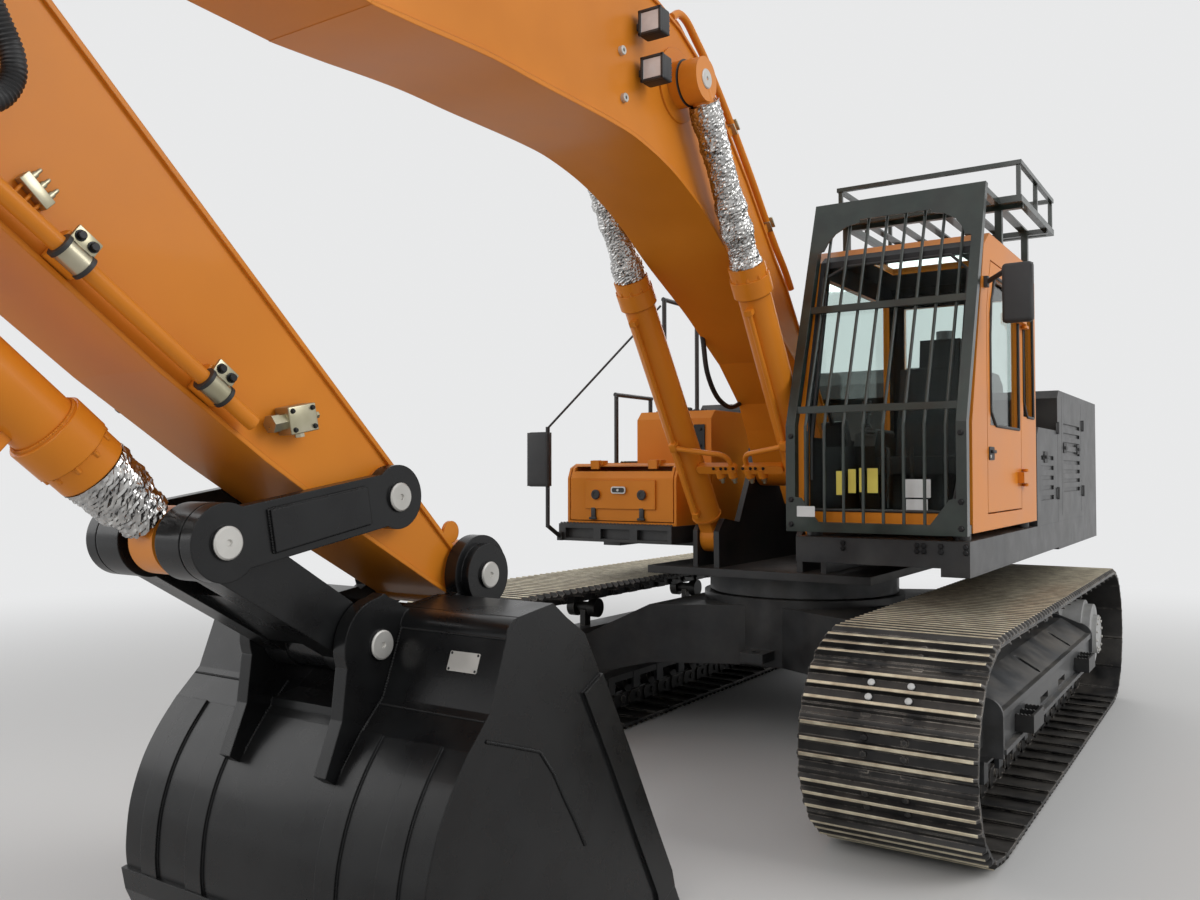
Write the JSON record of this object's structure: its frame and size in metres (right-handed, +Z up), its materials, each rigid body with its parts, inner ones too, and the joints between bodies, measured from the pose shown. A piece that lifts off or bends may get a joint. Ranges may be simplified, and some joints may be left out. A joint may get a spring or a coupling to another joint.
{
  "type": "crawler excavator",
  "caption": "Crawler excavator with a one-piece boom, arm and digging bucket, a guarded cab and steel tracks, parked with its arm drawn in.",
  "frame": {"origin": "middle of the overall length and width, on the ground that the track shoes stand on", "axes": "X forward along the tracks, Y to the cab side (left), Z up"},
  "size_m": [10.653, 3.54, 4.5688],
  "materials": {
    "yellow_paint": "glossy",
    "black_paint": "satin",
    "bucket_black": "glossy",
    "frame_grey": "satin",
    "guard_green": "satin",
    "track_steel": "worn",
    "drive_grey": "satin",
    "machined_steel": "turned",
    "rod_chrome": "polished",
    "clear_glass": "clear",
    "dark_plastic": "grained",
    "zinc_fittings": "plated",
    "mirror_face": "polished"
  },
  "bodies": {
    "undercarriage": {"car_body": "black_paint", "swing_ring": "machined_steel", "track_frame_left": "frame_grey", "track_frame_right": "frame_grey", "track_left": "track_steel", "track_right": "track_steel", "lower_rollers": "track_steel", "carrier_rollers": "track_steel", "idlers": "track_steel", "final_drives": "drive_grey", "frame_steps": "black_paint"},
    "house": {"revolving_frame": "black_paint", "slew_race": "machined_steel", "counterweight": "black_paint", "engine_hood": "black_paint", "engine_room_left": "black_paint", "engine_room_right": "black_paint", "left_locker": "black_paint", "engine_block": "frame_grey", "exhaust_stack": "black_paint", "fuel_tank": "yellow_paint", "hydraulic_tank": "yellow_paint", "front_step": "black_paint", "storage_box": "yellow_paint", "cab_shell": "yellow_paint", "cab_glass": "clear_glass", "operator_seat": "dark_plastic", "control_consoles": "dark_plastic", "front_guard": "guard_green", "roof_guard": "guard_green", "mirror_right": "dark_plastic", "mirror_left": "dark_plastic", "hand_rails": "black_paint", "swing_drive": "frame_grey", "main_valve": "frame_grey"},
    "cab_door": {"door": "yellow_paint", "door_glass": "clear_glass"},
    "box_lid": {"storage_lid": "yellow_paint"},
    "boom_body": {"boom": "yellow_paint", "boom_lines": "yellow_paint", "work_lamps": "dark_plastic"},
    "boom_tubes": {"boom_jack_tubes": "yellow_paint"},
    "boom_rods": {"boom_jack_rods": "rod_chrome"},
    "crowd_tube_body": {"crowd_tube": "yellow_paint"},
    "crowd_rod_body": {"crowd_rod": "rod_chrome"},
    "arm_body": {"arm": "yellow_paint", "arm_lines": "yellow_paint"},
    "curl_tube_body": {"curl_tube": "yellow_paint"},
    "curl_rod_body": {"curl_rod": "rod_chrome"},
    "levers": {"link_levers": "bucket_black"},
    "link": {"bucket_link": "bucket_black"},
    "bucket_body": {"bucket": "bucket_black"}
  },
  "joints": [
    {"name": "swing", "type": "hinge", "parent": "undercarriage", "child": "house", "pos_m": [-1.79651, 0, 0.96], "axis": [0, 0, 1], "continuous": true},
    {"name": "boom_lift", "type": "hinge", "parent": "house", "child": "boom_body", "pos_m": [-1.69651, 0, 1.85], "axis": [0, -1, 0], "range_deg": [-50, 42]},
    {"name": "arm_out", "type": "hinge", "parent": "boom_body", "child": "arm_body", "pos_m": [4.36336, 0, 3.61973], "axis": [0, -1, 0], "range_deg": [-1.5, 105]},
    {"name": "bucket_curl", "type": "hinge", "parent": "arm_body", "child": "bucket_body", "pos_m": [2.07347, 0, 1.40455], "axis": [0, 1, 0], "range_deg": [-10, 150]},
    {"name": "boom_tube_tilt", "type": "hinge", "parent": "house", "child": "boom_tubes", "pos_m": [-1.13651, 0, 1.36], "axis": [0, -1, 0], "range_deg": [-50.34, 42.3]},
    {"name": "boom_rod_slide", "type": "slide", "parent": "boom_tubes", "child": "boom_rods", "axis": [0.5578, 0, 0.83], "range_m": [-0.5837, 0.4906]},
    {"name": "crowd_tube_tilt", "type": "hinge", "parent": "boom_body", "child": "crowd_tube_body", "pos_m": [1.00383, 0, 4.45025], "axis": [0, -1, 0], "range_deg": [-0.21, 7.69]},
    {"name": "crowd_rod_slide", "type": "slide", "parent": "crowd_tube_body", "child": "crowd_rod_body", "axis": [0.9872, 0, -0.1596], "range_m": [-1.2314, 0.0196]},
    {"name": "curl_tube_tilt", "type": "hinge", "parent": "arm_body", "child": "curl_tube_body", "pos_m": [4.76457, 0, 2.90871], "axis": [0, 1, 0], "range_deg": [-0.42, 4.94]},
    {"name": "curl_rod_slide", "type": "slide", "parent": "curl_tube_body", "child": "curl_rod_body", "axis": [-0.7617, 0, -0.648], "range_m": [-0.0767, 1.1225]},
    {"name": "lever_turn", "type": "hinge", "parent": "arm_body", "child": "levers", "pos_m": [2.51345, 0, 1.70913], "axis": [0, 1, 0], "range_deg": [-7.22, 106.91]},
    {"name": "link_turn", "type": "hinge", "parent": "levers", "child": "link", "pos_m": [3.21372, 0, 1.58932], "axis": [0, 1, 0], "range_deg": [-55.93, 3.82]},
    {"name": "door_swing", "type": "hinge", "parent": "house", "child": "cab_door", "pos_m": [-1.74651, 1.512, 1.76], "axis": [0, 0, 1], "range_deg": [0, 165]},
    {"name": "lid_lift", "type": "hinge", "parent": "house", "child": "box_lid", "pos_m": [-1.01351, -1.01, 1.874], "axis": [0, -1, 0], "range_deg": [0, 105]}
  ],
  "couplings": [
    {"joint": "boom_tube_tilt", "follows": "boom_lift", "ratio": 1.0047},
    {"joint": "boom_rod_slide", "follows": "boom_lift", "m_per_rad": 0.66657},
    {"joint": "crowd_tube_tilt", "follows": "arm_out", "ratio": 0.0723},
    {"joint": "crowd_rod_slide", "follows": "arm_out", "m_per_rad": -0.67085},
    {"joint": "curl_tube_tilt", "follows": "bucket_curl", "ratio": 0.03227},
    {"joint": "curl_rod_slide", "follows": "bucket_curl", "m_per_rad": 0.428},
    {"joint": "lever_turn", "follows": "bucket_curl", "ratio": 0.71206},
    {"joint": "link_turn", "follows": "bucket_curl", "ratio": -0.37221}
  ]
}
